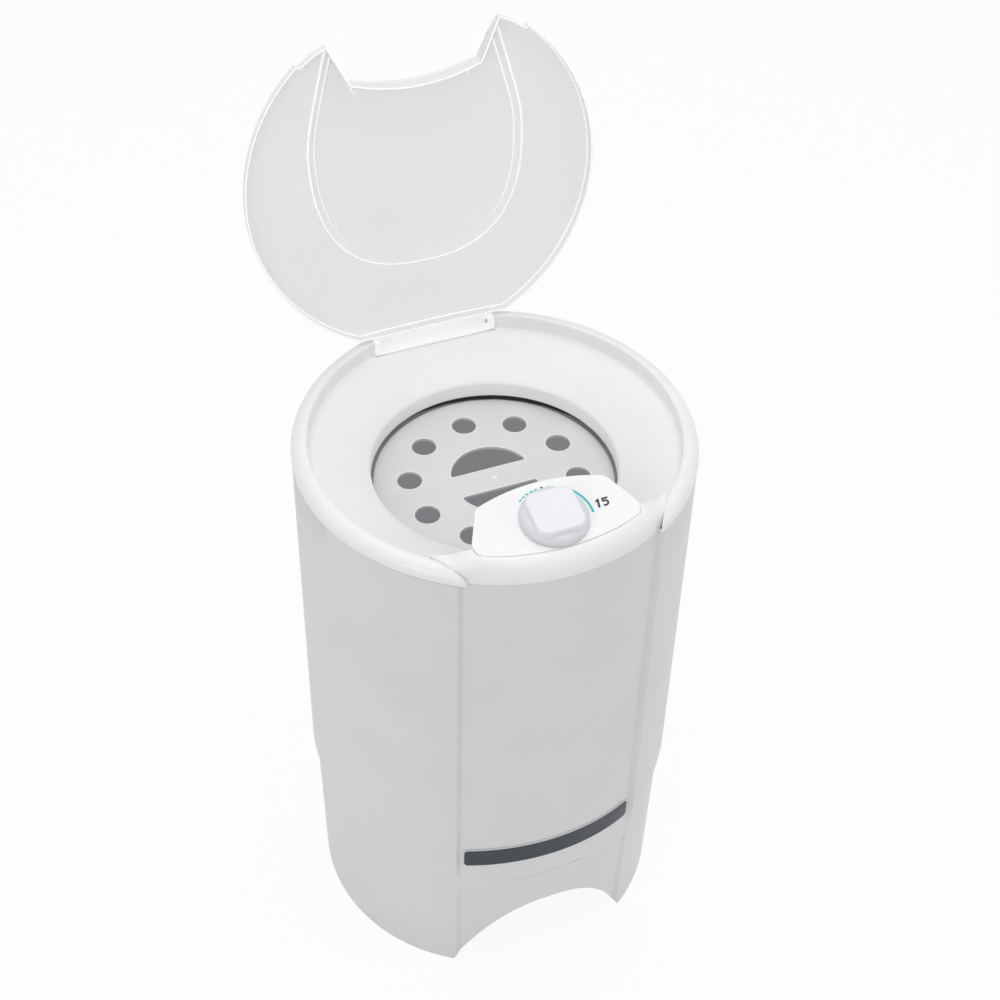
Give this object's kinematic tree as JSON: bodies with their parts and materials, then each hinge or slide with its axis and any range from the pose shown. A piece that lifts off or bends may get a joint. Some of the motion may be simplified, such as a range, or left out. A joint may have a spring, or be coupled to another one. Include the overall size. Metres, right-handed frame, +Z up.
{
  "type": "spin dryer",
  "caption": "Top-loading round spin dryer with a hinged translucent lid, a lift-out safety lid with holes, a spinning basket, a timer knob and an outlet under a front arch.",
  "frame": {"origin": "on the floor, under the middle of the bounding box with the lid open", "axes": "+Z up, front of the dryer towards -Y, +X to the right of someone who stands in front of it, the drum's axis upright at x 0, y -0.0202"},
  "size_m": [0.425, 0.4554, 1.0154],
  "materials": {
    "body_white": "moulded, satin",
    "white_plastic": "moulded, glossy",
    "plate_white": "printed plate, satin",
    "clear_lid": "translucent, milky",
    "slate_strip": "satin with a pale border",
    "black_rubber": "matt",
    "zinc_steel": "zinc plated",
    "grey_plastic": "moulded, matt",
    "basket_plastic": "moulded, satin",
    "inner_lid_plastic": "moulded, satin",
    "cast_aluminium": "as cast"
  },
  "bodies": {
    "cabinet": {"cabinet_shell": "body_white", "top_deck": "white_plastic", "control_console": "white_plastic", "control_plate": "plate_white", "badge_strip": "slate_strip", "cord_gland": "black_rubber", "foot_front_left": "black_rubber", "foot_front_right": "black_rubber", "foot_back_left": "black_rubber", "foot_back_right": "black_rubber", "hinge_pin_left": "zinc_steel", "hinge_pin_right": "zinc_steel", "timer_body": "grey_plastic", "lid_switch": "grey_plastic", "base_frame": "grey_plastic", "rubber_mount_1": "black_rubber", "rubber_mount_2": "black_rubber", "rubber_mount_3": "black_rubber", "suspension_plate": "zinc_steel", "outer_tub": "grey_plastic", "shaft_seal": "black_rubber", "drain_spout": "grey_plastic", "motor_lower_cover": "cast_aluminium", "motor_stator": "zinc_steel", "motor_upper_cover": "cast_aluminium", "motor_stud_1": "zinc_steel", "motor_stud_2": "zinc_steel", "motor_stud_3": "zinc_steel", "motor_stud_4": "zinc_steel", "brake_pivot": "zinc_steel", "capacitor": "grey_plastic", "capacitor_clamp": "zinc_steel"},
    "lid": {"outer_lid": "clear_lid"},
    "drum": {"basket": "basket_plastic", "basket_hub": "cast_aluminium", "hub_nut": "zinc_steel", "drive_shaft": "zinc_steel", "motor_rotor": "zinc_steel", "brake_drum": "cast_aluminium"},
    "safety_lid": {"inner_lid": "inner_lid_plastic"},
    "timer": {"timer_knob": "white_plastic", "timer_shaft": "zinc_steel"},
    "brake": {"brake_lever": "zinc_steel", "brake_pad": "black_rubber"}
  },
  "joints": [
    {"name": "lid_hinge", "type": "hinge", "parent": "cabinet", "child": "lid", "pos_m": [0, 0.16639, 0.672], "axis": [1, 0, 0], "range_deg": [0, 99.3]},
    {"name": "basket_spin", "type": "hinge", "parent": "cabinet", "child": "drum", "pos_m": [0, -0.02021, 0.4], "axis": [0, 0, 1], "continuous": true},
    {"name": "safety_lid_lift", "type": "slide", "parent": "drum", "child": "safety_lid", "axis": [0, 0, 1], "range_m": [0, 0.04]},
    {"name": "timer_turn", "type": "hinge", "parent": "cabinet", "child": "timer", "pos_m": [0, -0.1742, 0.6949], "axis": [0, -0.1736, 0.9848], "range_deg": [-300, 0]},
    {"name": "brake_swing", "type": "hinge", "parent": "cabinet", "child": "brake", "pos_m": [0.05, 0.0198, 0.142], "axis": [0, 0, 1], "range_deg": [0, 7]}
  ],
  "couplings": [
    {"joint": "brake_swing", "follows": "lid_hinge", "ratio": 0.06}
  ]
}
